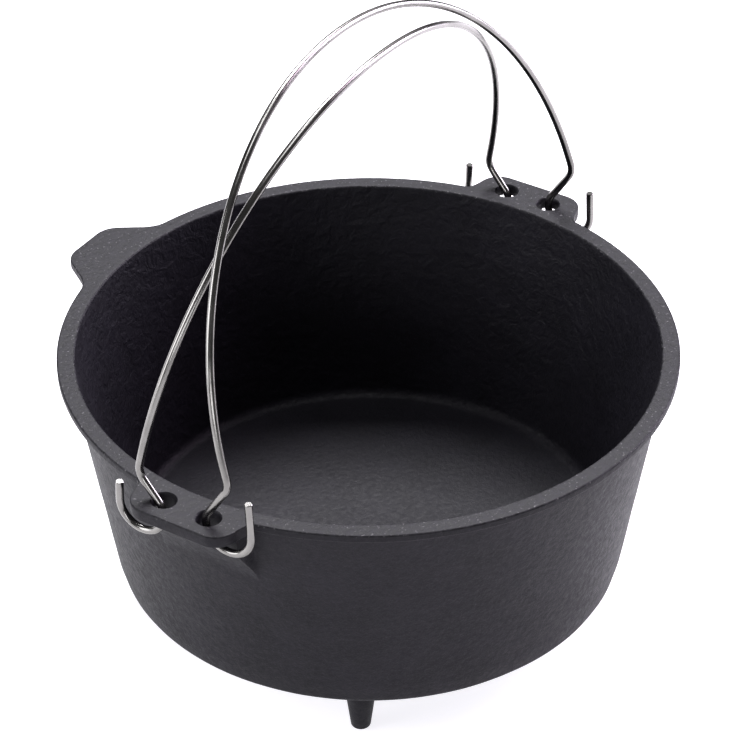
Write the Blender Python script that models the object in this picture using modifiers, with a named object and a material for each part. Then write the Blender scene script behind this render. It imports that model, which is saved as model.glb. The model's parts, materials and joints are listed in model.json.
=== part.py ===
"""Cast iron camp dutch oven: one sand-cast pot with three legs, and two wire bails hooked through its lugs.

Frame: metres, +Z up. The lugs lie on X, the grip tab points to +Y, and the legs stand on Z = 0. The origin is
the middle of the object's footprint, so the pot's own axis stands towards -Y by half of what the tab adds.
"""

import math

import bmesh
import bpy

# The bowl
RIM_RADIUS = 0.160
MOUTH_RADIUS = 0.1507
RIM_THICKNESS = 0.004
WALL_TOP_RADIUS = 0.1538
BASE_RADIUS = 0.133
POT_DEPTH = 0.129
FLOOR_THICKNESS = 0.004
BASE_CORNER = 0.005
FLOOR_CORNER = 0.008
EDGE_ROUND = 0.0008
POT_SEGMENTS = 96

# The legs
LEG_HEIGHT = 0.026
LEG_PITCH_RADIUS = 0.119
LEG_TOP_RADIUS = 0.0078
LEG_TIP_RADIUS = 0.0052
LEG_TIP_ROUND = 0.0014
LEG_ANGLES = (90, 210, 330)

# The grip tab
TAB_REACH = 0.180
TAB_TIP_HALF_WIDTH = 0.0168
TAB_ROOT_HALF_WIDTH = 0.034
TAB_THICKNESS = 0.0046
TAB_CORNER = 0.014

# The lugs
LUG_REACH = 0.1765
LUG_TIP_HALF_WIDTH = 0.0275
LUG_ROOT_HALF_WIDTH = 0.0325
LUG_THICKNESS = 0.0065
LUG_CORNER = 0.012
LUG_TOP_STEP = 0.0002
HOLE_X = 0.1635
HOLE_Y = 0.0130
HOLE_RADIUS = 0.0061
GUSSET_REACH = 0.170
GUSSET_HALF_WIDTH = 0.0268
GUSSET_FLARE = 0.15
GUSSET_BACK = 0.1504
GUSSET_TOE_REACH = 0.1427
GUSSET_TOE_DROP = 0.0464
GUSSET_OVERLAP = 0.002
SLOT_INNER_X = 0.161
SLOT_OUTER_X = 0.180
SLOT_INNER_Y = 0.0065
SLOT_OUTER_Y = 0.050
SLOT_DROP = 0.032

# The bails
WIRE_RADIUS = 0.002
BAIL_HALF_SPAN = 0.165
BAIL_RISE = 0.1575
BAIL_POWERS = (2.05, 1.94)
HOOK_RADIUS = 0.013
HOOK_LEAVES_AT = 130
KNEE_ROUND = 0.010
ARCH_GAP = 0.003
HINGE_Y = 0.0255
OUTER_HINGE_DROP = 0.0015
OUTER_KNEE_HEIGHT = 0.0243
OUTER_LEAN = 16.8
OUTER_TIP_AT = 345.8
OUTER_TIP_LENGTHS = (0.0155, 0.0203)
INNER_HINGE_DROP = 0.0085
INNER_KNEE_HEIGHT = 0.021
INNER_LEAN = 11.0
INNER_TIP_AT = 351.5
INNER_TIP_LENGTHS = (0.0160, 0.0104)

POT_Y = -(TAB_REACH - RIM_RADIUS) / 2
BASE_Z = LEG_HEIGHT
RIM_Z = BASE_Z + POT_DEPTH
INSIDE_RIM = WALL_TOP_RADIUS - 0.0018
WALL_THICKNESS = 0.0042
PLATE_ROOT_INSET = 0.002
HOLE_CUTTER_DEPTH = 0.09
HOLE_CUTTER_RISE = 0.01


def clear_scene():
    for obj in list(bpy.data.objects):
        bpy.data.objects.remove(obj, do_unlink=True)


def new_collection(name):
    collection = bpy.data.collections.new(name)
    bpy.context.scene.collection.children.link(collection)
    return collection


def material(name, colour, metallic, roughness):
    made = bpy.data.materials.new(name)
    made.use_nodes = True
    shader = made.node_tree.nodes["Principled BSDF"]
    shader.inputs["Base Color"].default_value = (*colour, 1)
    shader.inputs["Metallic"].default_value = metallic
    shader.inputs["Roughness"].default_value = roughness
    return made


def arc(centre, radius, start, end, steps):
    """Points from angle start to angle end, in degrees, about a centre."""
    angles = [math.radians(start + (end - start) * i / steps) for i in range(steps + 1)]
    return [(centre[0] + radius * math.cos(a), centre[1] + radius * math.sin(a)) for a in angles]


def rounded_corner(before, corner, after, radius, steps):
    """The arc that rounds one corner of a flat outline."""
    to_before = math.atan2(before[1] - corner[1], before[0] - corner[0])
    to_after = math.atan2(after[1] - corner[1], after[0] - corner[0])
    turn = (to_after - to_before + math.pi) % (2 * math.pi) - math.pi
    half = turn / 2
    reach = radius / abs(math.sin(half))
    middle = to_before + half
    centre = (corner[0] + reach * math.cos(middle), corner[1] + reach * math.sin(middle))
    first = to_before - math.copysign(math.pi / 2, turn)
    sweep = math.copysign(math.pi - abs(turn), -turn)
    start = math.degrees(first)
    return arc(centre, radius, start, start + math.degrees(sweep), steps)


def curve_to_mesh(obj, collection):
    """Turns a curve object into a mesh object whose caps are welded to its sides."""
    bpy.context.view_layer.update()
    graph = bpy.context.evaluated_depsgraph_get()
    mesh = bpy.data.meshes.new_from_object(obj.evaluated_get(graph))
    shape = bmesh.new()
    shape.from_mesh(mesh)
    bmesh.ops.remove_doubles(shape, verts=shape.verts, dist=1e-6)
    bmesh.ops.recalc_face_normals(shape, faces=shape.faces)
    shape.to_mesh(mesh)
    shape.free()
    made = bpy.data.objects.new(obj.name, mesh)
    made.matrix_world = obj.matrix_world
    bpy.data.objects.remove(obj, do_unlink=True)
    collection.objects.link(made)
    return made


def flat_piece(name, outline, thickness, collection):
    """A flat outline in the XY plane, extruded half its thickness each way."""
    curve = bpy.data.curves.new(name, "CURVE")
    curve.dimensions = "2D"
    curve.fill_mode = "BOTH"
    curve.extrude = thickness / 2
    spline = curve.splines.new("POLY")
    spline.points.add(len(outline) - 1)
    for point, (x, y) in zip(spline.points, outline):
        point.co = (x, y, 0, 1)
    spline.use_cyclic_u = True
    obj = bpy.data.objects.new(name, curve)
    collection.objects.link(obj)
    return obj


def as_cutter(obj):
    obj.hide_render = True
    obj.display_type = "WIRE"
    return obj


def add_boolean(obj, other, operation):
    modifier = obj.modifiers.new(other.name, "BOOLEAN")
    modifier.operation = operation
    modifier.object = other
    modifier.solver = "EXACT"


def bowl_profile():
    """From the middle of the floor, up the inside, over the rim and down to the middle of the underside."""
    floor_z = BASE_Z + FLOOR_THICKNESS
    slope = math.degrees(math.atan2(WALL_TOP_RADIUS - BASE_RADIUS, POT_DEPTH))
    inside_base = BASE_RADIUS - WALL_THICKNESS
    inside = arc((inside_base - FLOOR_CORNER, floor_z + FLOOR_CORNER), FLOOR_CORNER, -90, -slope, 5)
    rim_inside = arc((MOUTH_RADIUS + EDGE_ROUND, RIM_Z - EDGE_ROUND), EDGE_ROUND, 180, 90, 2)
    rim_outside = arc((RIM_RADIUS - EDGE_ROUND, RIM_Z - EDGE_ROUND), EDGE_ROUND, 90, 0, 2)
    rim_under = [(RIM_RADIUS, RIM_Z - RIM_THICKNESS), (WALL_TOP_RADIUS, RIM_Z - RIM_THICKNESS - 0.0015)]
    corner = arc((BASE_RADIUS - BASE_CORNER, BASE_Z + BASE_CORNER), BASE_CORNER, -slope, -90, 4)
    return [(0, floor_z), *inside, *rim_inside, *rim_outside, *rim_under, *corner, (0, BASE_Z)]


def make_bowl(collection):
    profile = bowl_profile()
    mesh = bpy.data.meshes.new("pot_casting")
    edges = [(i, i + 1) for i in range(len(profile) - 1)]
    mesh.from_pydata([(x, 0, z) for x, z in profile], edges, [])
    bowl = bpy.data.objects.new("pot_casting", mesh)
    bowl.location = (0, POT_Y, 0)
    collection.objects.link(bowl)
    turned = bowl.modifiers.new("Turned bowl", "SCREW")
    turned.steps = POT_SEGMENTS
    turned.render_steps = POT_SEGMENTS
    turned.use_merge_vertices = True
    turned.merge_threshold = 0.00001
    return bowl


def cone(bottom_radius, top_radius, height, segments):
    """A closed cone or cylinder on the XY plane, as a bmesh."""
    shape = bmesh.new()
    sizes = {"radius1": bottom_radius, "radius2": top_radius, "depth": height}
    bmesh.ops.create_cone(shape, cap_ends=True, segments=segments, **sizes)
    bmesh.ops.translate(shape, verts=shape.verts, vec=(0, 0, height / 2))
    return shape


def make_leg(angle, cutters):
    """A tapered leg, rounded at its tip, that starts inside the pot's floor."""
    top = BASE_Z + FLOOR_THICKNESS / 2
    shape = cone(LEG_TIP_RADIUS, LEG_TOP_RADIUS, top, 24)
    tip = [edge for edge in shape.edges if all(vert.co.z < 1e-6 for vert in edge.verts)]
    bmesh.ops.bevel(shape, geom=tip, offset=LEG_TIP_ROUND, segments=2, profile=0.5, affect="EDGES")
    name = f"leg_{angle}"
    mesh = bpy.data.meshes.new(name)
    shape.to_mesh(mesh)
    shape.free()
    leg = bpy.data.objects.new(name, mesh)
    turn = math.radians(angle)
    leg.location = (LEG_PITCH_RADIUS * math.cos(turn), POT_Y + LEG_PITCH_RADIUS * math.sin(turn), 0)
    cutters.objects.link(leg)
    return as_cutter(leg)


def plate_outline(reach, tip_half_width, root_half_width, corner):
    """A plate that grows out of the rim along +X, with its root on an arc that lies inside the wall."""
    root_x = math.sqrt(RIM_RADIUS**2 - root_half_width**2) - PLATE_ROOT_INSET
    root_angle = math.degrees(math.atan2(root_half_width, root_x))
    upper = rounded_corner((root_x, root_half_width), (reach, tip_half_width), (reach, 0), corner, 6)
    lower = [(x, -y) for x, y in reversed(upper)]
    root = arc((0, 0), INSIDE_RIM, -root_angle, root_angle, 10)
    return [*root, (root_x, root_half_width), *upper, *lower, (root_x, -root_half_width)]


def make_tab(cutters):
    outline = plate_outline(TAB_REACH, TAB_TIP_HALF_WIDTH, TAB_ROOT_HALF_WIDTH, TAB_CORNER)
    tab = flat_piece("grip_tab", outline, TAB_THICKNESS, cutters)
    tab.rotation_euler = (0, 0, math.radians(90))
    tab.location = (0, POT_Y, RIM_Z - LUG_TOP_STEP - TAB_THICKNESS / 2)
    return as_cutter(curve_to_mesh(tab, cutters))


def make_lug(name, turn, cutters):
    outline = plate_outline(LUG_REACH, LUG_TIP_HALF_WIDTH, LUG_ROOT_HALF_WIDTH, LUG_CORNER)
    lug = flat_piece(name, outline, LUG_THICKNESS, cutters)
    lug.rotation_euler = (0, 0, turn)
    lug.location = (0, POT_Y, RIM_Z - LUG_TOP_STEP - LUG_THICKNESS / 2)
    return as_cutter(curve_to_mesh(lug, cutters))


def make_gusset(name, turn, cutters):
    """The sloping web under a lug: its side view extruded along the lug's width, and flared towards the wall."""
    toe = (GUSSET_TOE_REACH, RIM_Z - GUSSET_TOE_DROP)
    face_slope = (GUSSET_REACH - GUSSET_TOE_REACH) / (GUSSET_TOE_DROP - LUG_THICKNESS)
    top = RIM_Z - LUG_THICKNESS + GUSSET_OVERLAP
    front = (GUSSET_REACH + face_slope * GUSSET_OVERLAP, top)
    gusset = flat_piece(name, [(GUSSET_BACK, top), toe, front], 2 * GUSSET_HALF_WIDTH, cutters)
    gusset.rotation_euler = (math.radians(90), 0, turn)
    gusset.location = (0, POT_Y, 0)
    gusset = curve_to_mesh(gusset, cutters)
    for vert in gusset.data.vertices:
        vert.co.z *= 1 + GUSSET_FLARE * (GUSSET_REACH - vert.co.x) / (GUSSET_REACH - GUSSET_TOE_REACH)
    return as_cutter(gusset)


def make_box(name, low, high, cutters):
    shape = bmesh.new()
    bmesh.ops.create_cube(shape, size=1)
    size = [b - a for a, b in zip(low, high)]
    middle = [(a + b) / 2 for a, b in zip(low, high)]
    bmesh.ops.scale(shape, verts=shape.verts, vec=size)
    bmesh.ops.translate(shape, verts=shape.verts, vec=middle)
    mesh = bpy.data.meshes.new(name)
    shape.to_mesh(mesh)
    shape.free()
    box = bpy.data.objects.new(name, mesh)
    cutters.objects.link(box)
    return as_cutter(box)


def make_hole(name, x, y, cutters):
    shape = cone(HOLE_RADIUS, HOLE_RADIUS, HOLE_CUTTER_DEPTH, 32)
    mesh = bpy.data.meshes.new(name)
    shape.to_mesh(mesh)
    shape.free()
    hole = bpy.data.objects.new(name, mesh)
    hole.location = (x, POT_Y + y, RIM_Z + HOLE_CUTTER_RISE - HOLE_CUTTER_DEPTH)
    cutters.objects.link(hole)
    return as_cutter(hole)


def make_slot(name, side, half, cutters):
    """The relief in a gusset that lets a bail's hook swing under the lug."""
    x = sorted((side * SLOT_INNER_X, side * SLOT_OUTER_X))
    y = sorted((POT_Y + half * SLOT_INNER_Y, POT_Y + half * SLOT_OUTER_Y))
    under = RIM_Z - LUG_THICKNESS
    return make_box(name, (x[0], y[0], RIM_Z - SLOT_DROP), (x[1], y[1], under), cutters)


def make_pot(collection, cutters, iron):
    pot = make_bowl(collection)
    for angle in LEG_ANGLES:
        add_boolean(pot, make_leg(angle, cutters), "UNION")
    add_boolean(pot, make_tab(cutters), "UNION")
    for side, turn in ((1, 0), (-1, math.pi)):
        end = "right" if side > 0 else "left"
        add_boolean(pot, make_lug(f"{end}_lug", turn, cutters), "UNION")
        add_boolean(pot, make_gusset(f"{end}_gusset", turn, cutters), "UNION")
        for half in (1, -1):
            where = f"{end}_{'tab' if half > 0 else 'plain'}_side"
            add_boolean(pot, make_slot(f"{where}_slot", side, half, cutters), "DIFFERENCE")
            add_boolean(pot, make_hole(f"{where}_hole", side * HOLE_X, half * HOLE_Y, cutters), "DIFFERENCE")
    pot.data.materials.append(iron)
    return pot


def hook_path(knee_height, tip_at, tip_length):
    """One hook, from its tip to the knee, as points out from the hinge and up from it."""
    bend = arc((0, 0), HOOK_RADIUS, tip_at, HOOK_LEAVES_AT, 18)
    tip_turn = math.radians(tip_at - 270)
    steps = 3
    free_end = [
        (
            bend[0][0] + tip_length * (steps - i) / steps * math.cos(tip_turn),
            bend[0][1] + tip_length * (steps - i) / steps * math.sin(tip_turn),
        )
        for i in range(steps)
    ]
    climb = math.radians(HOOK_LEAVES_AT - 90)
    rise = knee_height - bend[-1][1]
    knee = (bend[-1][0] + rise / math.tan(climb), knee_height)
    knee_bend = rounded_corner(bend[-1], knee, (knee[0], knee_height + 1), KNEE_ROUND, 5)
    return [*free_end, *bend, *knee_bend]


def bail_path(knee_height, tip_at, tip_lengths):
    """A whole bail standing upright, with its hinge on the X axis and its hooks towards +Y.

    The tip lengths are those of the hook on +X and of the hook on -X.
    """
    right_hook, left_hook = (hook_path(knee_height, tip_at, length) for length in tip_lengths)
    out, arch_starts = right_hook[-1]
    steps = 44
    arch = []
    for i in range(1, steps):
        turn = math.pi * i / steps
        across = math.copysign(abs(math.cos(turn)) ** (2 / BAIL_POWERS[0]), math.cos(turn))
        up = math.sin(turn) ** (2 / BAIL_POWERS[1])
        point = (BAIL_HALF_SPAN * across, out, knee_height + BAIL_RISE * up)
        if point[2] > arch_starts + ARCH_GAP:
            arch.append(point)
    right = [(BAIL_HALF_SPAN, y, z) for y, z in right_hook]
    left = [(-BAIL_HALF_SPAN, y, z) for y, z in reversed(left_hook)]
    return [*right, *arch, *left]


def make_bail(name, half, hinge_drop, lean, path, steel, collection):
    """A bail whose origin is on its hinge axis. It leans towards the other bail by its lean."""
    turn = math.radians(lean)
    curve = bpy.data.curves.new(name, "CURVE")
    curve.dimensions = "3D"
    curve.bevel_depth = WIRE_RADIUS
    curve.bevel_resolution = 2
    curve.use_fill_caps = True
    spline = curve.splines.new("POLY")
    spline.points.add(len(path) - 1)
    for point, (x, y, z) in zip(spline.points, path):
        out = y * math.cos(turn) - z * math.sin(turn)
        up = y * math.sin(turn) + z * math.cos(turn)
        point.co = (x, half * out, up, 1)
    bail = bpy.data.objects.new(name, curve)
    bail.location = (0, POT_Y + half * HINGE_Y, RIM_Z - hinge_drop)
    collection.objects.link(bail)
    curve.materials.append(steel)
    return bail


def main():
    clear_scene()
    collection = new_collection("Cast iron dutch oven")
    cutters = new_collection("Cutters")
    iron = material("seasoned cast iron", (0.035, 0.034, 0.037), 0.3, 0.55)
    steel = material("polished steel wire", (0.62, 0.61, 0.60), 1.0, 0.18)
    make_pot(collection, cutters, iron)
    outer_path = bail_path(OUTER_KNEE_HEIGHT, OUTER_TIP_AT, OUTER_TIP_LENGTHS)
    inner_path = bail_path(INNER_KNEE_HEIGHT, INNER_TIP_AT, INNER_TIP_LENGTHS)
    make_bail("outer_bail", -1, OUTER_HINGE_DROP, OUTER_LEAN, outer_path, steel, collection)
    make_bail("inner_bail", 1, INNER_HINGE_DROP, INNER_LEAN, inner_path, steel, collection)


main()
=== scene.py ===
"""Looks of the cast iron camp oven: the casting, its wire bails, the materials, the studio and camera."""

import json
import math

import bmesh
import bpy
import numpy as np
from mathutils import Matrix, Vector, noise


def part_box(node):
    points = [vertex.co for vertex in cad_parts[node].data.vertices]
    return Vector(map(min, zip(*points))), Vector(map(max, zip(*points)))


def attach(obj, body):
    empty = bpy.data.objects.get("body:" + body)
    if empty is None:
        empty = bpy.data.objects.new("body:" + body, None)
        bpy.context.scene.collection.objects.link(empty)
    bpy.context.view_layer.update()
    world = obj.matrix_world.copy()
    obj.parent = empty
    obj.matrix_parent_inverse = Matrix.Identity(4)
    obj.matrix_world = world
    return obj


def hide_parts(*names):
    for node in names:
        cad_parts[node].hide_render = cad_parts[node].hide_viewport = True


# The bowl, in metres: radii from the pot's axis and heights from the rim's top
RIM_RADIUS = 0.160
MOUTH_RADIUS = 0.1507
FLOOR_CORNER_RADIUS = 0.1274
RIM_THICKNESS = 0.0042
WALL_TOP_RADIUS = 0.1538
BASE_RADIUS = 0.133
POT_DEPTH = 0.129
FLOOR_DEPTH = 0.125

FOOT_ROUND = 0.0058
LIP_ROUND = 0.0012
EDGE_ROUND = 0.0010
UNDER_ROUND = 0.0008
COVE = 0.0016
BASE_ROUND = 0.005
WALL_TOP_INSET = 0.0045

# Where the outer wall's rings lie, by depth: close together down the webs and wider apart below them
FIRST_RING_GAP = 0.0008
WEB_RINGS_END = 0.060
WEB_RING_SPACING = 0.0011
LOWER_RINGS = (0.062, 0.118, 18)

# The slow waves of the cast surface, and how much of the rim and the base stays flat
WAVE_HEIGHT = 0.0002
WAVE_SINK = 0.0001
WAVE_SCALE = 45
FLAT_RIM = 0.002
FLAT_BASE = 0.0005

# The plates that grow out of the rim, as (reach, tip half width, root half width, corner, thickness)
LUG = (0.1765, 0.0275, 0.0325, 0.012, 0.0065)
TAB = (0.180, 0.0168, 0.034, 0.014, 0.0046)
LUG_THICKNESS = LUG[-1]
LUG_DIRECTIONS = (0, 180)
PLATES = [(0, *LUG), (180, *LUG), (90, *TAB)]
PLATE_BLEND = 0.006
PLATE_ROOT_INSET = 0.002
PLATE_SIDE_LENGTH = 0.030
INSIDE_THE_RIM = 0.9

# The web under each lug
WEB_REACH = 0.170
WEB_HALF_WIDTH = 0.0268
WEB_FLARE = 0.05
WEB_TOE_REACH = 0.1427
WEB_TOE_DEPTH = 0.0450
WEB_BLEND = 0.003
WEB_EDGE = 0.004
WEB_ROOT_REACH = 0.125
WEB_WIDEST_TURN = 1.2
PAST_THE_WEB = 0.3
WITHIN_THE_BOWL = 0.1

# The holes through the lugs, and the slots that clear the hooks beside the webs
HOLE_X = 0.1635
HOLE_Y = 0.0130
HOLE_RADIUS = 0.0061
HOLE_CHAMFER = 0.0006
HOLE_TAPER = 0.0003
HOLE_CUTTER_RISE = 0.004
HOLE_CUTTER_DEPTH = 0.075
SLOT_X = 0.161
SLOT_Y = 0.0065
SLOT_LENGTH = 0.02
SLOT_WIDTH = 0.045
SLOT_DEPTH = 0.032
SLOT_ROUND = 0.0012

# The legs
LEG_DIRECTIONS = (90, 210, 330)
LEG_PITCH_RADIUS = 0.119
LEG_TOP_RADIUS = 0.0077
LEG_TIP_RADIUS = 0.0050
LEG_FLARE = 0.0034
LEG_FLARE_STRETCH = 1.4
LEG_TIP_ROUND = 0.0018
LEG_ROOT_RISE = 0.0018
LEG_OVERLAP = 0.0003

# The bails
WIRE_RADIUS = 0.002
BAIL_HALF_SPAN = 0.165
BAIL_RISE = 0.1575
BAIL_POWERS = (2.05, 1.94)
HOOK_RADIUS = 0.013
HOOK_LEAVES_AT = 130
KNEE_ROUND = 0.010
WIRE_SIDES = 20
WIRE_RING_SPACING = 0.0016
WIRE_END_BEVEL = 0.14

# Each bail's lean in degrees, the knee's height, where the hook's bend ends, and the free ends' lengths
OUTER_BAIL = (16.8, 0.0243, 345.8, (0.0155, 0.0203))
INNER_BAIL = (11.0, 0.021, 351.5, (0.0160, 0.0104))

# The camera, about the middle of the rim's top
CAMERA_AZIMUTH = 57.5
CAMERA_PITCH = 35.46
CAMERA_DISTANCE = 1.6448
CAMERA_LEFT = 0.00027
CAMERA_DOWN = 0.01306
CAMERA_ROLL = -0.0071
CAMERA_LENS = 156.52

STUDIO_WHITE = (0.97, 0.96, 1.0)

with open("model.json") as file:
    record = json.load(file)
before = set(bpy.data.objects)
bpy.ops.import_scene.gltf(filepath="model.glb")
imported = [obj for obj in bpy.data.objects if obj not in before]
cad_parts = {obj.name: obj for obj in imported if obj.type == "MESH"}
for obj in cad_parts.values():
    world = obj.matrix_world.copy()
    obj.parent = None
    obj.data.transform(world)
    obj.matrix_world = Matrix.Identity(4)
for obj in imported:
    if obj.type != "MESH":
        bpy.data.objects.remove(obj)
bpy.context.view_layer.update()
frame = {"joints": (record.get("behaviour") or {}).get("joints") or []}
hinges = {joint["name"]: Vector(joint["pos_m"]) for joint in frame["joints"]}
outer_hinge = hinges["outer_bail_hinge"]
inner_hinge = hinges["inner_bail_hinge"]
POT_Y = (outer_hinge.y + inner_hinge.y) / 2
RIM_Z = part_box("pot_casting")[1][2]
BASE_Z = RIM_Z - POT_DEPTH
WALL_SLOPE = (WALL_TOP_RADIUS - BASE_RADIUS) / POT_DEPTH


# Meshes


def arc(centre, radius, start, end, steps):
    """Points from angle start to angle end, in degrees, about a centre."""
    angles = [math.radians(start + (end - start) * i / steps) for i in range(steps + 1)]
    return [(centre[0] + radius * math.cos(a), centre[1] + radius * math.sin(a)) for a in angles]


def rounded_corner(before, corner, after, radius, steps):
    """The arc that rounds one corner of a flat outline."""
    to_before = math.atan2(before[1] - corner[1], before[0] - corner[0])
    to_after = math.atan2(after[1] - corner[1], after[0] - corner[0])
    turn = (to_after - to_before + math.pi) % (2 * math.pi) - math.pi
    reach = radius / abs(math.sin(turn / 2))
    middle = to_before + turn / 2
    centre = (corner[0] + reach * math.cos(middle), corner[1] + reach * math.sin(middle))
    start = math.degrees(to_before - math.copysign(math.pi / 2, turn))
    sweep = math.degrees(math.copysign(math.pi - abs(turn), -turn))
    return arc(centre, radius, start, start + sweep, steps)


def smooth_max(a, b, blend):
    """The larger of two arrays, with a fillet where they cross."""
    return np.maximum(a, b) + np.maximum(blend - np.abs(a - b), 0) ** 2 / (4 * blend)


def new_object(name, mesh):
    obj = bpy.data.objects.new(name, mesh)
    bpy.context.scene.collection.objects.link(obj)
    return obj


def mesh_object(name, vertices, faces):
    mesh = bpy.data.meshes.new(name)
    mesh.from_pydata(vertices, [], faces)
    shape = bmesh.new()
    shape.from_mesh(mesh)
    bmesh.ops.recalc_face_normals(shape, faces=shape.faces)
    shape.to_mesh(mesh)
    shape.free()
    return new_object(name, mesh)


def join(objects):
    """One mesh object from several whose shapes don't touch."""
    shape = bmesh.new()
    for obj in objects:
        obj.data.transform(obj.matrix_world)
        shape.from_mesh(obj.data)
        bpy.data.objects.remove(obj)
    mesh = bpy.data.meshes.new("joined")
    shape.to_mesh(mesh)
    shape.free()
    return new_object("joined", mesh)


def apply_boolean(obj, other, operation):
    modifier = obj.modifiers.new("cut", "BOOLEAN")
    modifier.object = other
    modifier.operation = operation
    modifier.solver = "EXACT"
    graph = bpy.context.evaluated_depsgraph_get()
    mesh = bpy.data.meshes.new_from_object(obj.evaluated_get(graph))
    obj.modifiers.clear()
    obj.data = mesh
    bpy.data.objects.remove(other)


def turned(name, profile, segments, place):
    """A closed solid turned about a vertical axis. The profile runs from axis to axis."""
    vertices = [(0, 0, profile[0][1])]
    for radius, height in profile[1:-1]:
        for i in range(segments):
            turn = 2 * math.pi * i / segments
            vertices.append((radius * math.cos(turn), radius * math.sin(turn), height))
    vertices.append((0, 0, profile[-1][1]))
    last = len(vertices) - 1
    rings = len(profile) - 2
    faces = []
    for i in range(segments):
        j = (i + 1) % segments
        faces.append((0, 1 + i, 1 + j))
        for ring in range(rings - 1):
            low = 1 + ring * segments
            high = low + segments
            faces.append((low + i, high + i, high + j, low + j))
        top = 1 + (rings - 1) * segments
        faces.append((last, top + j, top + i))
    obj = mesh_object(name, vertices, faces)
    obj.data.transform(Matrix.Translation(place))
    return obj


# The casting


def pot_angles():
    """Directions round the pot, closer together where the plates are."""
    coarse = set(range(0, 1440, 4))
    fine = set()
    for centre in (0, 90, 180):
        fine |= {(4 * centre + i) % 1440 for i in range(-68, 69)}
    return np.radians(np.array(sorted(coarse | fine)) / 4)


def off_centre(angles, direction):
    """Angles measured from one direction, between minus and plus half a turn."""
    return (angles - math.radians(direction) + math.pi) % (2 * math.pi) - math.pi


def straight(start, end, steps):
    """Points from start up to, but without, end."""
    return [tuple(a + (b - a) * i / steps for a, b in zip(start, end)) for i in range(steps)]


def plate_radius(angles, plate):
    """How far a plate's outline reaches in each direction, and less than the rim's radius elsewhere."""
    direction, reach, tip_half_width, root_half_width, corner, _ = plate
    root_x = math.sqrt(RIM_RADIUS**2 - root_half_width**2) - PLATE_ROOT_INSET
    slope = (root_half_width - tip_half_width) / (reach - root_x)
    far = (root_x - PLATE_SIDE_LENGTH, root_half_width + slope * PLATE_SIDE_LENGTH)
    corner_points = rounded_corner(far, (reach, tip_half_width), (reach, 0), corner, 24)
    side = straight(far, corner_points[0], 40)
    tip = [(reach, corner_points[-1][1] * (1 - i / 20)) for i in range(1, 21)]
    outline = np.array(side + corner_points + tip)[::-1]
    turn = np.arctan2(outline[:, 1], outline[:, 0])
    radius = np.hypot(outline[:, 0], outline[:, 1])
    return np.interp(np.abs(off_centre(angles, direction)), turn, radius, right=radius[-1] * INSIDE_THE_RIM)


def web_radius(angles, direction, depth):
    """How far the web under a lug reaches in each direction, at one depth below the rim."""
    away = np.abs(off_centre(angles, direction))
    face_slope = (WEB_REACH - WEB_TOE_REACH) / (WEB_TOE_DEPTH - LUG_THICKNESS)
    face_x = WEB_REACH - face_slope * (depth - LUG_THICKNESS)
    reach = np.linspace(face_x, WEB_ROOT_REACH, 60)
    half_width = WEB_HALF_WIDTH * (1 + WEB_FLARE * (WEB_REACH - reach) / (WEB_REACH - WEB_TOE_REACH))
    side_turn = np.arctan2(half_width, reach)
    side_radius = np.hypot(reach, half_width)
    face = face_x / np.cos(np.minimum(away, WEB_WIDEST_TURN))
    side = np.interp(away, side_turn, side_radius, left=PAST_THE_WEB, right=WITHIN_THE_BOWL)
    return -smooth_max(-face, -side, WEB_EDGE)


def rim_outline(angles):
    """The outer edge's radius and the rim's thickness in each direction, with the lugs and the tab."""
    edge = RIM_RADIUS * np.ones_like(angles)
    thick = RIM_THICKNESS * np.ones_like(angles)
    for plate in PLATES:
        reach = plate_radius(angles, plate)
        edge = smooth_max(edge, reach, PLATE_BLEND)
        grown = np.clip((reach - RIM_RADIUS + PLATE_BLEND) / PLATE_BLEND, 0, 1)
        grown = grown * grown * (3 - 2 * grown)
        thick = thick + (plate[-1] - RIM_THICKNESS) * grown
    return edge, thick


def wall_radius(angles, depth):
    """The outer wall's radius in each direction, with the webs, at one depth below the rim."""
    radius = (WALL_TOP_RADIUS - WALL_SLOPE * (depth - RIM_THICKNESS)) * np.ones_like(angles)
    for direction in LUG_DIRECTIONS:
        radius = smooth_max(radius, web_radius(angles, direction, depth), WEB_BLEND)
    return radius


def inside_profile():
    """The floor, its rounded corner, the inner wall and the lip, as (radius, depth)."""
    corner = (FLOOR_CORNER_RADIUS, FLOOR_DEPTH)
    mouth = (MOUTH_RADIUS, 0)
    foot = rounded_corner((0.11, FLOOR_DEPTH), corner, mouth, FOOT_ROUND, 12)
    lip = rounded_corner(foot[-1], mouth, (0.2, 0), LIP_ROUND, 6)
    floor = [(radius, FLOOR_DEPTH) for radius in np.linspace(0.004, 0.112, 14)]
    return [*floor, *foot, *straight(foot[-1], lip[0], 25)[1:], *lip]


def base_profile():
    """The outer wall's rounded lower corner and the underside, as (radius, depth)."""
    above = (BASE_RADIUS + WALL_SLOPE * 0.05, POT_DEPTH - 0.05)
    corner = rounded_corner(above, (BASE_RADIUS, POT_DEPTH), (0, POT_DEPTH), BASE_ROUND, 10)
    return [*corner, *[(radius, POT_DEPTH) for radius in np.linspace(0.124, 0.004, 16)]]


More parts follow.
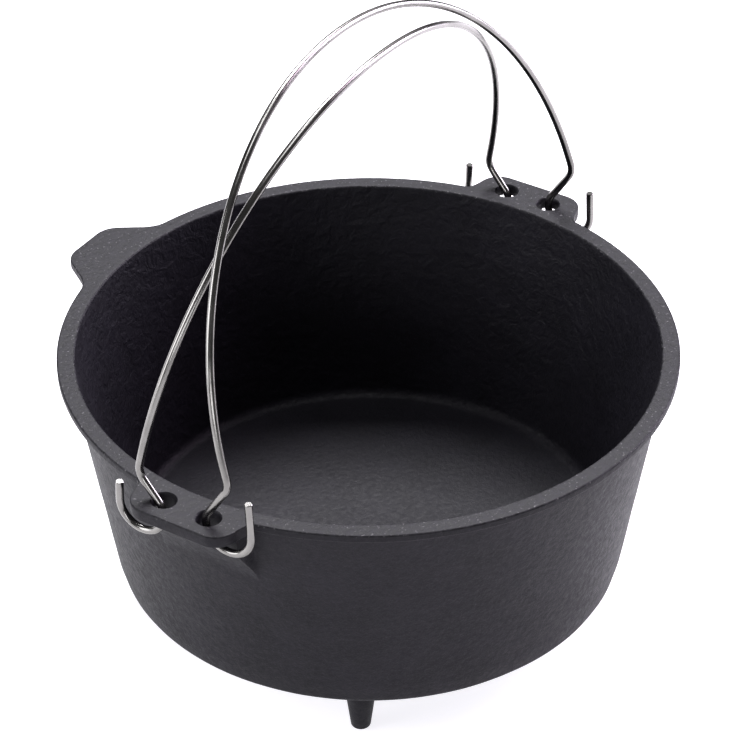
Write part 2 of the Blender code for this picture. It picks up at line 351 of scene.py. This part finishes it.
def pot_rings(angles):
    """The casting's rings from the middle of the floor round to the underside, as (radii, heights)."""
    edge, thick = rim_outline(angles)
    rings = inside_profile()
    lip_radius = rings[-1][0]
    for step in np.linspace(0, 1, 12)[1:-1]:
        rings.append((lip_radius + (edge - EDGE_ROUND - lip_radius) * step, 0))
    rings += [(edge - EDGE_ROUND + x, EDGE_ROUND - z) for x, z in arc((0, 0), EDGE_ROUND, 90, 0, 6)]
    under = edge - UNDER_ROUND
    rings += [(under + x, thick - UNDER_ROUND - z) for x, z in arc((0, 0), UNDER_ROUND, 0, -90, 5)]
    wall_top = np.minimum(wall_radius(angles, LUG_THICKNESS), edge - WALL_TOP_INSET)
    rings += [(under + (wall_top + COVE - under) * step, thick) for step in np.linspace(0, 1, 9)[1:]]
    rings += [(wall_top + COVE + x, thick + COVE - z) for x, z in arc((0, 0), COVE, 90, 180, 6)[1:]]
    first = LUG_THICKNESS + COVE + FIRST_RING_GAP
    for depth in (*np.arange(first, WEB_RINGS_END, WEB_RING_SPACING), *np.linspace(*LOWER_RINGS)):
        rings.append((wall_radius(angles, depth), depth))
    rings += base_profile()
    one = np.ones_like(angles)
    return [(radius * one, RIM_Z - depth * one) for radius, depth in rings]


def roughen(mesh):
    """Gives the casting the slow waves that a sand mould leaves, but not the rim's top or the underside."""
    for vertex, direction in zip(mesh.vertices, [v.normal.copy() for v in mesh.vertices]):
        place = vertex.co
        depth = RIM_Z - place.z
        if depth < FLAT_RIM or place.z < BASE_Z + FLAT_BASE:
            continue
        wave = WAVE_HEIGHT * noise.noise(place * WAVE_SCALE)
        vertex.co = place - direction * (wave + WAVE_SINK)


def make_bowl():
    angles = pot_angles()
    rings = pot_rings(angles)
    count = len(angles)
    vertices = [(0, POT_Y, RIM_Z - FLOOR_DEPTH)]
    for radius, height in rings:
        vertices += zip(radius * np.cos(angles), POT_Y + radius * np.sin(angles), height)
    vertices.append((0, POT_Y, BASE_Z))
    last = len(vertices) - 1
    faces = []
    for i in range(count):
        j = (i + 1) % count
        faces.append((0, 1 + i, 1 + j))
        for ring in range(len(rings) - 1):
            low = 1 + ring * count
            high = low + count
            faces.append((low + i, high + i, high + j, low + j))
        top = 1 + (len(rings) - 1) * count
        faces.append((last, top + j, top + i))
    return mesh_object("pot_cast_iron", vertices, faces)


def leg_profile():
    """A tapered leg with a rounded tip and a flared root, from its top inside the floor down to its tip."""
    top = BASE_Z + LEG_ROOT_RISE
    flare_top = BASE_Z + LEG_OVERLAP
    flare = [
        (LEG_TOP_RADIUS + LEG_FLARE * (1 - y), flare_top - LEG_FLARE * LEG_FLARE_STRETCH * (1 - x))
        for x, y in arc((0, 0), 1, 0, 90, 9)
    ]
    root = [(LEG_TOP_RADIUS + LEG_FLARE, top), *flare]
    tip = rounded_corner((LEG_TOP_RADIUS, BASE_Z - 0.004), (LEG_TIP_RADIUS, 0), (0, 0), LEG_TIP_ROUND, 8)
    return [(0, top), *root, *tip, (0, 0)]


def make_legs():
    legs = []
    for direction in LEG_DIRECTIONS:
        turn = math.radians(direction)
        place = (LEG_PITCH_RADIUS * math.cos(turn), POT_Y + LEG_PITCH_RADIUS * math.sin(turn), 0)
        legs.append(turned("leg", leg_profile(), 40, place))
    return join(legs)


def box(low, high):
    shape = bmesh.new()
    bmesh.ops.create_cube(shape, size=1)
    size = Vector(high) - Vector(low)
    bmesh.ops.scale(shape, verts=shape.verts, vec=size)
    bmesh.ops.translate(shape, verts=shape.verts, vec=(Vector(low) + Vector(high)) / 2)
    bmesh.ops.bevel(shape, geom=shape.edges[:], offset=SLOT_ROUND, segments=3, profile=0.5, affect="EDGES")
    mesh = bpy.data.meshes.new("box")
    shape.to_mesh(mesh)
    shape.free()
    return new_object("box", mesh)


def make_slots():
    slots = []
    for side in (1, -1):
        for half in (1, -1):
            x = sorted((side * SLOT_X, side * (SLOT_X + SLOT_LENGTH)))
            y = sorted((POT_Y + half * SLOT_Y, POT_Y + half * (SLOT_Y + SLOT_WIDTH)))
            low = (x[0], y[0], RIM_Z - SLOT_DEPTH)
            high = (x[1], y[1], RIM_Z - LUG_THICKNESS + 0.0001)
            slots.append(box(low, high))
    return join(slots)


def make_holes():
    """Cutters for the lug holes, with a small chamfer at the lug's top face."""
    above = RIM_Z + HOLE_CUTTER_RISE
    below = RIM_Z - HOLE_CUTTER_DEPTH
    profile = [
        (0, above),
        (HOLE_RADIUS + HOLE_CHAMFER + HOLE_CUTTER_RISE, above),
        (HOLE_RADIUS + HOLE_CHAMFER, RIM_Z),
        (HOLE_RADIUS + HOLE_TAPER, RIM_Z - HOLE_CHAMFER * 0.7),
        (HOLE_RADIUS, RIM_Z - HOLE_CHAMFER * 1.5),
        (HOLE_RADIUS, RIM_Z - LUG_THICKNESS + 0.0007),
        (HOLE_RADIUS, below),
        (0, below),
    ]
    holes = []
    for side in (1, -1):
        for half in (1, -1):
            holes.append(turned("hole", profile, 48, (side * HOLE_X, POT_Y + half * HOLE_Y, 0)))
    return join(holes)


def make_pot():
    pot = make_bowl()
    roughen(pot.data)
    apply_boolean(pot, make_legs(), "UNION")
    apply_boolean(pot, make_slots(), "DIFFERENCE")
    apply_boolean(pot, make_holes(), "DIFFERENCE")
    mesh = pot.data
    mesh.shade_smooth()
    mesh.set_sharp_from_angle(angle=math.radians(38))
    return pot


# The bails


def hook_path(knee_height, tip_at, tip_length):
    """One hook, from its tip to the knee, as points out from the hinge and up from it."""
    bend = arc((0, 0), HOOK_RADIUS, tip_at, HOOK_LEAVES_AT, 72)
    turn = math.radians(tip_at - 270)
    steps = 12
    free_end = [
        (
            bend[0][0] + tip_length * (steps - i) / steps * math.cos(turn),
            bend[0][1] + tip_length * (steps - i) / steps * math.sin(turn),
        )
        for i in range(steps)
    ]
    climb = math.radians(HOOK_LEAVES_AT - 90)
    knee = (bend[-1][0] + (knee_height - bend[-1][1]) / math.tan(climb), knee_height)
    knee_bend = rounded_corner(bend[-1], knee, (knee[0], knee_height + 1), KNEE_ROUND, 16)
    return [*free_end, *bend, *knee_bend]


def bail_path(knee_height, tip_at, tip_lengths):
    """A whole bail standing upright, with its hinge on the X axis and its hooks towards +Y.

    The tip lengths are those of the hook on +X and of the hook on -X.
    """
    right_hook, left_hook = (hook_path(knee_height, tip_at, length) for length in tip_lengths)
    out, arch_starts = right_hook[-1]
    steps = 180
    arch = []
    for i in range(1, steps):
        turn = math.pi * i / steps
        across = math.copysign(abs(math.cos(turn)) ** (2 / BAIL_POWERS[0]), math.cos(turn))
        up = math.sin(turn) ** (2 / BAIL_POWERS[1])
        point = (BAIL_HALF_SPAN * across, out, knee_height + BAIL_RISE * up)
        if point[2] > arch_starts + 0.002:
            arch.append(point)
    right = [(BAIL_HALF_SPAN, y, z) for y, z in right_hook]
    left = [(-BAIL_HALF_SPAN, y, z) for y, z in reversed(left_hook)]
    return [*right, *arch, *left]


def resample(path, spacing):
    """The same line with evenly spaced points."""
    points = np.array(path)
    along = np.concatenate([[0], np.cumsum(np.linalg.norm(np.diff(points, axis=0), axis=1))])
    wanted = np.linspace(0, along[-1], int(along[-1] / spacing) + 1)
    return np.stack([np.interp(wanted, along, points[:, axis]) for axis in range(3)], axis=1)


def make_wire(name, path):
    """A round wire swept along a path, with sawn ends whose edges are slightly broken."""
    points = resample(path, WIRE_RING_SPACING)
    tangents = np.gradient(points, axis=0)
    tangents /= np.linalg.norm(tangents, axis=1)[:, None]
    normal = np.cross(tangents[0], (1, 0, 0))
    normal /= np.linalg.norm(normal)
    rings = []
    turns = np.arange(WIRE_SIDES) * 2 * math.pi / WIRE_SIDES
    for i, (point, tangent) in enumerate(zip(points, tangents)):
        normal = normal - tangent * (normal @ tangent)
        normal /= np.linalg.norm(normal)
        side = np.cross(tangent, normal)
        round_it = np.outer(np.cos(turns), normal) + np.outer(np.sin(turns), side)
        if i in (0, len(points) - 1):
            inward = tangent if i == 0 else -tangent
            bevel = [(WIRE_RADIUS * (1 - WIRE_END_BEVEL), 0), (WIRE_RADIUS, WIRE_RADIUS * WIRE_END_BEVEL)]
            pair = [point + inward * depth + radius * round_it for radius, depth in bevel]
            rings += pair if i == 0 else pair[::-1]
        else:
            rings.append(point + WIRE_RADIUS * round_it)
    vertices = np.concatenate(rings)
    faces = [tuple(range(WIRE_SIDES - 1, -1, -1))]
    for ring in range(len(rings) - 1):
        low = ring * WIRE_SIDES
        for i in range(WIRE_SIDES):
            j = (i + 1) % WIRE_SIDES
            faces.append((low + i, low + j, low + WIRE_SIDES + j, low + WIRE_SIDES + i))
    end = (len(rings) - 1) * WIRE_SIDES
    faces.append(tuple(range(end, end + WIRE_SIDES)))
    wire = mesh_object(name, [tuple(v) for v in vertices], faces)
    wire.data.shade_smooth()
    wire.data.set_sharp_from_angle(angle=math.radians(40))
    return wire


def make_bail(name, half, hinge, lean, knee_height, tip_at, tip_lengths):
    """A bail on its hinge's axis, with its hooks on the side that half gives, leaning over the pot."""
    turn = math.radians(lean)
    path = []
    for x, y, z in bail_path(knee_height, tip_at, tip_lengths):
        out = y * math.cos(turn) - z * math.sin(turn)
        up = y * math.sin(turn) + z * math.cos(turn)
        path.append((x, hinge.y + half * out, hinge.z + up))
    return make_wire(name, path)


# Materials


class Nodes:
    """Shorthand for building one material's node tree."""

    def __init__(self, name):
        self.material = bpy.data.materials.new(name)
        self.material.use_nodes = True
        self.tree = self.material.node_tree
        self.shader = self.tree.nodes["Principled BSDF"]

    def add(self, kind, inputs=None, **settings):
        node = self.tree.nodes.new(kind)
        for key, value in settings.items():
            setattr(node, key, value)
        for key, value in (inputs or {}).items():
            self.link(value, node.inputs[key])
        return node

    def link(self, value, socket):
        if isinstance(value, bpy.types.NodeSocket):
            self.tree.links.new(value, socket)
        else:
            socket.default_value = value

    def noise(self, where, scale, detail=3.0, roughness=0.55, distortion=0.0):
        inputs = {"Vector": where, "Scale": scale, "Detail": detail}
        inputs |= {"Roughness": roughness, "Distortion": distortion}
        return self.add("ShaderNodeTexNoise", inputs).outputs["Fac"]

    def span(self, value, low, high, to_low=0.0, to_high=1.0):
        inputs = {"Value": value, "From Min": low, "From Max": high, "To Min": to_low, "To Max": to_high}
        return self.add("ShaderNodeMapRange", inputs, clamp=True).outputs["Result"]

    def math(self, operation, a, b):
        return self.add("ShaderNodeMath", {0: a, 1: b}, operation=operation).outputs[0]

    def vector(self, operation, a, b, output="Vector"):
        return self.add("ShaderNodeVectorMath", {0: a, 1: b}, operation=operation).outputs[output]

    def mix(self, factor, a, b):
        node = self.add("ShaderNodeMix", data_type="RGBA")
        self.link(factor, node.inputs[0])
        self.link(a, node.inputs[6])
        self.link(b, node.inputs[7])
        return node.outputs[2]

    def bump(self, height, distance, strength, under=None):
        inputs = {"Height": height, "Distance": distance, "Strength": strength}
        if under is not None:
            inputs["Normal"] = under
        return self.add("ShaderNodeBump", inputs).outputs["Normal"]


def iron_material():
    """Seasoned cast iron: near black and pebbled, wrinkled on the inside, and flecked on the rim's top."""
    n = Nodes("seasoned_cast_iron")
    where = n.add("ShaderNodeTexCoord").outputs["Object"]
    normal = n.add("ShaderNodeTexCoord").outputs["Normal"]
    from_axis = n.vector("SUBTRACT", where, (0, POT_Y, 0))
    level = n.vector("MULTIPLY", from_axis, (1, 1, 0))
    facing = n.vector("DOT_PRODUCT", normal, level, "Value")
    inside = n.span(facing, 0.0, -0.02)
    height = n.add("ShaderNodeSeparateXYZ", {0: where}).outputs["Z"]
    grain = n.noise(where, 1300, 2.0, 0.6)
    pebbles = n.noise(where, 330, 3.0, 0.6)
    patches = n.noise(where, 38, 4.0, 0.6)
    waves = n.noise(where, 110, 2.0, 0.5)
    dark = n.mix(n.span(patches, 0.3, 0.7), (0.0045, 0.0041, 0.0062, 1), (0.0085, 0.0078, 0.0114, 1))
    speckled = n.mix(n.span(grain, 0.5, 0.8), dark, (0.017, 0.0155, 0.021, 1))
    ground = n.span(height, RIM_Z - 0.0016, RIM_Z - 0.0004)
    top = n.mix(n.span(pebbles, 0.35, 0.65), (0.005, 0.0047, 0.0062, 1), (0.019, 0.0185, 0.022, 1))
    bright = n.span(n.noise(where, 620, 2.0, 0.5), 0.64, 0.72)
    flecked = n.mix(bright, top, (0.090, 0.088, 0.092, 1))
    colour = n.mix(ground, speckled, flecked)
    n.link(colour, n.shader.inputs["Base Color"])
    rough = n.span(pebbles, 0.3, 0.7, 0.46, 0.62)
    n.link(rough, n.shader.inputs["Roughness"])
    n.shader.inputs["Metallic"].default_value = 0.0
    n.shader.inputs["Specular IOR Level"].default_value = 0.16
    slow = n.bump(waves, 0.0010, 0.12)
    wrinkles = n.noise(where, 150, 3.0, 0.6, 0.6)
    wrinkled = n.bump(wrinkles, 0.0016, n.math("MULTIPLY", inside, 0.65), slow)
    coarse = n.bump(pebbles, 0.0006, 0.5, wrinkled)
    fine = n.bump(grain, 0.00020, 0.6, coarse)
    n.link(fine, n.shader.inputs["Normal"])
    return n.material


def wire_material():
    """Drawn stainless wire: metal with faint smudges and fine drawing marks, its colour kept far darker than
    bare steel as painted shade for the dark surroundings it reflects.
    """
    n = Nodes("drawn_steel_wire")
    where = n.add("ShaderNodeTexCoord").outputs["Object"]
    smudge = n.noise(where, 60, 3.0, 0.5)
    grain = n.noise(where, 2200, 2.0, 0.5)
    # Painted shade: both colours are far darker than bare steel and stand in for the dark studio that the
    # wire reflects; the smudges between them are real.
    colour = n.mix(n.span(smudge, 0.3, 0.7), (0.17, 0.166, 0.158, 1), (0.24, 0.235, 0.224, 1))
    n.link(colour, n.shader.inputs["Base Color"])
    n.shader.inputs["Metallic"].default_value = 1.0
    n.link(n.span(smudge, 0.3, 0.7, 0.16, 0.26), n.shader.inputs["Roughness"])
    n.link(n.bump(grain, 0.00004, 0.25), n.shader.inputs["Normal"])
    return n.material


def floor_material():
    """A pale floor that glows evenly behind and beside the pot and a little less towards the camera."""
    n = Nodes("pale_floor")
    where = n.add("ShaderNodeTexCoord").outputs["Object"]
    cloud = n.noise(where, 2.0, 2.0, 0.5)
    n.link(n.mix(cloud, (0.56, 0.56, 0.56, 1), (0.58, 0.58, 0.58, 1)), n.shader.inputs["Base Color"])
    n.shader.inputs["Roughness"].default_value = 0.8
    away = n.vector("DOT_PRODUCT", where, tuple(camera_level()), "Value")
    n.shader.inputs["Emission Color"].default_value = (0.965, 0.955, 1.0, 1)
    n.link(n.span(away, -0.75, -0.15, 0.50, 0.85), n.shader.inputs["Emission Strength"])
    return n.material


# The studio


def add_floor():
    mesh = bpy.data.meshes.new("studio_floor")
    shape = bmesh.new()
    bmesh.ops.create_grid(shape, x_segments=4, y_segments=4, size=6)
    shape.to_mesh(mesh)
    shape.free()
    floor = new_object("studio_floor", mesh)
    floor.data.materials.append(floor_material())


def aim(obj, target):
    obj.rotation_euler = (Vector(target) - obj.location).to_track_quat("-Z", "Y").to_euler()


def camera_level():
    """The level direction that the camera looks in."""
    azimuth = math.radians(CAMERA_AZIMUTH)
    return Vector((math.sin(azimuth), math.cos(azimuth), 0))


def camera_axes():
    pitch = math.radians(CAMERA_PITCH)
    level = camera_level()
    forward = level * math.cos(pitch) - Vector((0, 0, math.sin(pitch)))
    right = forward.cross((0, 0, 1)).normalized()
    up = right.cross(forward)
    return forward, right, up


def add_light(name, across, height, away, size, power, colour):
    """A soft box placed as the camera sees it: across to the right, up, and away, in metres from the pot."""
    level = camera_level()
    right = level.cross((0, 0, 1))
    lamp = bpy.data.lights.new(name, "AREA")
    lamp.shape = "RECTANGLE"
    lamp.size, lamp.size_y = size
    lamp.energy = power
    lamp.color = colour
    obj = bpy.data.objects.new(name, lamp)
    obj.location = right * across + level * away + Vector((0, 0, height))
    aim(obj, (0, 0, 0.08))
    bpy.context.scene.collection.objects.link(obj)


def add_camera():
    forward, right, up = camera_axes()
    rim = Vector((0, POT_Y, RIM_Z))
    place = rim - forward * CAMERA_DISTANCE - right * CAMERA_LEFT - up * CAMERA_DOWN
    turned_right = right * math.cos(CAMERA_ROLL) + up * math.sin(CAMERA_ROLL)
    turned_up = up * math.cos(CAMERA_ROLL) - right * math.sin(CAMERA_ROLL)
    data = bpy.data.cameras.new("camera")
    data.lens = CAMERA_LENS
    data.sensor_width = 36
    data.clip_start = 0.05
    camera = bpy.data.objects.new("camera", data)
    axes = Matrix((turned_right, turned_up, -forward)).transposed().to_4x4()
    camera.matrix_world = Matrix.Translation(place) @ axes
    bpy.context.scene.collection.objects.link(camera)
    bpy.context.scene.camera = camera


def add_world():
    world = bpy.data.worlds.new("studio")
    world.use_nodes = True
    back = world.node_tree.nodes["Background"]
    back.inputs["Color"].default_value = (1, 1, 1, 1)
    back.inputs["Strength"].default_value = 0.1
    bpy.context.scene.world = world


def add_studio():
    add_world()
    add_floor()
    add_light("back_box", 0.2, 1.7, 2.3, (3.2, 1.2), 10, STUDIO_WHITE)
    add_light("key_box", 0.0, 2.1, 1.35, (1.3, 0.9), 105, STUDIO_WHITE)
    add_light("top_box", 0.0, 2.5, 0.1, (0.9, 0.9), 14, STUDIO_WHITE)
    add_light("fill_box", -0.3, 0.55, -2.2, (1.6, 0.5), 12, STUDIO_WHITE)
    add_light("left_box", -1.8, 0.8, -0.5, (1.2, 1.4), 30, STUDIO_WHITE)
    add_light("right_box", 1.8, 0.7, 0.9, (0.8, 1.2), 50, (0.90, 0.84, 1.0))
    add_light("side_box", 1.5, 1.5, 0.7, (0.7, 0.7), 20, (0.97, 0.76, 0.98))
    add_camera()
    bpy.context.scene.view_settings.view_transform = "Standard"


def dress(piece, material, body, node):
    piece.data.materials.clear()
    piece.data.materials.append(material)
    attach(piece, body)
    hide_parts(node)


def main():
    iron = iron_material()
    steel = wire_material()
    dress(make_pot(), iron, "pot", "pot_casting")
    outer = make_bail("outer_bail_wire", -1, outer_hinge, *OUTER_BAIL)
    inner = make_bail("inner_bail_wire", 1, inner_hinge, *INNER_BAIL)
    dress(outer, steel, "outer_bail", "outer_bail")
    dress(inner, steel, "inner_bail", "inner_bail")
    add_studio()


main()
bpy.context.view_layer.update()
